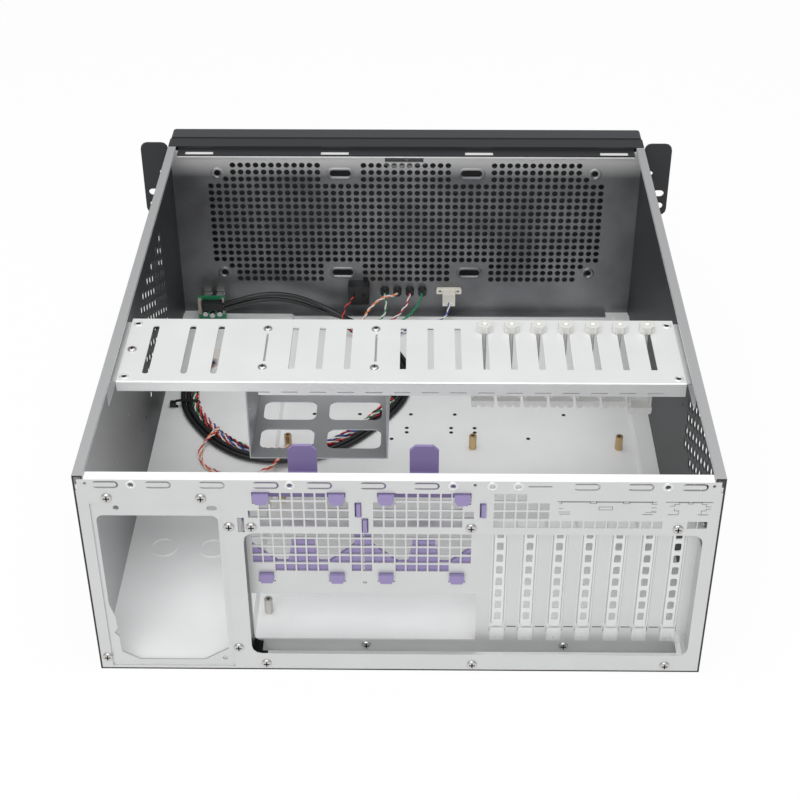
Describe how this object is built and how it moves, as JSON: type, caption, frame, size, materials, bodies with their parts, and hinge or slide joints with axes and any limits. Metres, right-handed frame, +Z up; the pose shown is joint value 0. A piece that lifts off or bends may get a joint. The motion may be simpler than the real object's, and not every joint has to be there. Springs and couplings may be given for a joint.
{
  "type": "empty rackmount server case",
  "caption": "Empty open-topped rackmount server case with recessed expansion slots, a hold-down bar with sliding clamps, a drive cradle and a drop-down front door.",
  "frame": {"origin": "middle of the underside, on the resting plane", "axes": "+Z up, +Y towards the rear panel, -Y towards the front door, +X towards the power supply bay"},
  "size_m": [0.4826, 0.5206, 0.177],
  "materials": {
    "zinc_steel": "zinc-coated",
    "screw_steel": "nickel-plated",
    "brass": "satin",
    "black_paint": "fine textured black",
    "purple_plastic": "moulded",
    "white_plastic": "moulded",
    "black_plastic": "moulded",
    "circuit_board": "solder mask",
    "wire_insulation": "mixed colours"
  },
  "bodies": {
    "case": {"chassis_tub": "zinc_steel", "rear_panel": "zinc_steel", "psu_bracket": "zinc_steel", "slot_panel": "zinc_steel", "card_bar": "zinc_steel", "bar_ledge_left": "zinc_steel", "bar_ledge_right": "zinc_steel", "drive_cradle": "zinc_steel", "front_wall": "zinc_steel", "latch_plate": "zinc_steel", "slot_cover_1": "zinc_steel", "slot_cover_2": "zinc_steel", "slot_cover_3": "zinc_steel", "slot_cover_4": "zinc_steel", "slot_cover_5": "zinc_steel", "slot_cover_6": "zinc_steel", "slot_cover_7": "zinc_steel", "rear_screws": "screw_steel", "bar_screws": "screw_steel", "door_hinge_pins": "screw_steel", "usb_ports": "screw_steel", "board_standoffs": "brass", "front_frame": "black_paint", "rack_ear_left": "black_paint", "rack_ear_right": "black_paint", "fan_holder_1": "purple_plastic", "fan_holder_2": "purple_plastic", "thermal_sensor": "white_plastic", "lead_connectors": "white_plastic", "power_switch": "black_plastic", "led_holders": "black_plastic", "usb_plug": "black_plastic", "usb_lead_1": "black_plastic", "usb_lead_2": "black_plastic", "usb_board": "circuit_board", "wire_bundle": "wire_insulation", "wire_switch": "wire_insulation", "wire_led_1": "wire_insulation", "wire_led_2": "wire_insulation", "wire_led_3": "wire_insulation", "wire_led_4": "wire_insulation", "wire_sensor": "wire_insulation", "wire_loop": "wire_insulation"},
    "door": {"front_door": "black_paint"},
    "lock": {"door_lock": "screw_steel"},
    "button": {"power_button": "black_plastic"},
    "clamp_1": {"clamp_knob_1": "white_plastic"},
    "foot_1": {"clamp_foot_1": "white_plastic"},
    "clamp_2": {"clamp_knob_2": "white_plastic"},
    "foot_2": {"clamp_foot_2": "white_plastic"},
    "clamp_3": {"clamp_knob_3": "white_plastic"},
    "foot_3": {"clamp_foot_3": "white_plastic"},
    "clamp_4": {"clamp_knob_4": "white_plastic"},
    "foot_4": {"clamp_foot_4": "white_plastic"},
    "clamp_5": {"clamp_knob_5": "white_plastic"},
    "foot_5": {"clamp_foot_5": "white_plastic"},
    "clamp_6": {"clamp_knob_6": "white_plastic"},
    "foot_6": {"clamp_foot_6": "white_plastic"},
    "clamp_7": {"clamp_knob_7": "white_plastic"},
    "foot_7": {"clamp_foot_7": "white_plastic"}
  },
  "joints": [
    {"name": "front_door_hinge", "type": "hinge", "parent": "case", "child": "door", "pos_m": [0, -0.2502, 0.011], "axis": [1, 0, 0], "range_deg": [0, 90]},
    {"name": "door_lock_turn", "type": "hinge", "parent": "door", "child": "lock", "pos_m": [0, -0.25, 0.155], "axis": [0, -1, 0], "range_deg": [0, 90]},
    {"name": "power_button_press", "type": "slide", "parent": "case", "child": "button", "axis": [0, 1, 0], "range_m": [0, 0.003], "stiffness_N_per_m": 300, "springref_m": -0.002},
    {"name": "clamp_1_along_slot", "type": "slide", "parent": "case", "child": "clamp_1", "axis": [0, 1, 0], "range_m": [0, 0.045]},
    {"name": "clamp_1_height", "type": "slide", "parent": "clamp_1", "child": "foot_1", "axis": [0, 0, 1], "range_m": [0, 0.03]},
    {"name": "clamp_2_along_slot", "type": "slide", "parent": "case", "child": "clamp_2", "axis": [0, 1, 0], "range_m": [0, 0.045]},
    {"name": "clamp_2_height", "type": "slide", "parent": "clamp_2", "child": "foot_2", "axis": [0, 0, 1], "range_m": [0, 0.03]},
    {"name": "clamp_3_along_slot", "type": "slide", "parent": "case", "child": "clamp_3", "axis": [0, 1, 0], "range_m": [0, 0.045]},
    {"name": "clamp_3_height", "type": "slide", "parent": "clamp_3", "child": "foot_3", "axis": [0, 0, 1], "range_m": [0, 0.03]},
    {"name": "clamp_4_along_slot", "type": "slide", "parent": "case", "child": "clamp_4", "axis": [0, 1, 0], "range_m": [0, 0.045]},
    {"name": "clamp_4_height", "type": "slide", "parent": "clamp_4", "child": "foot_4", "axis": [0, 0, 1], "range_m": [0, 0.03]},
    {"name": "clamp_5_along_slot", "type": "slide", "parent": "case", "child": "clamp_5", "axis": [0, 1, 0], "range_m": [0, 0.045]},
    {"name": "clamp_5_height", "type": "slide", "parent": "clamp_5", "child": "foot_5", "axis": [0, 0, 1], "range_m": [0, 0.03]},
    {"name": "clamp_6_along_slot", "type": "slide", "parent": "case", "child": "clamp_6", "axis": [0, 1, 0], "range_m": [0, 0.045]},
    {"name": "clamp_6_height", "type": "slide", "parent": "clamp_6", "child": "foot_6", "axis": [0, 0, 1], "range_m": [0, 0.03]},
    {"name": "clamp_7_along_slot", "type": "slide", "parent": "case", "child": "clamp_7", "axis": [0, 1, 0], "range_m": [0, 0.045]},
    {"name": "clamp_7_height", "type": "slide", "parent": "clamp_7", "child": "foot_7", "axis": [0, 0, 1], "range_m": [0, 0.03]}
  ]
}
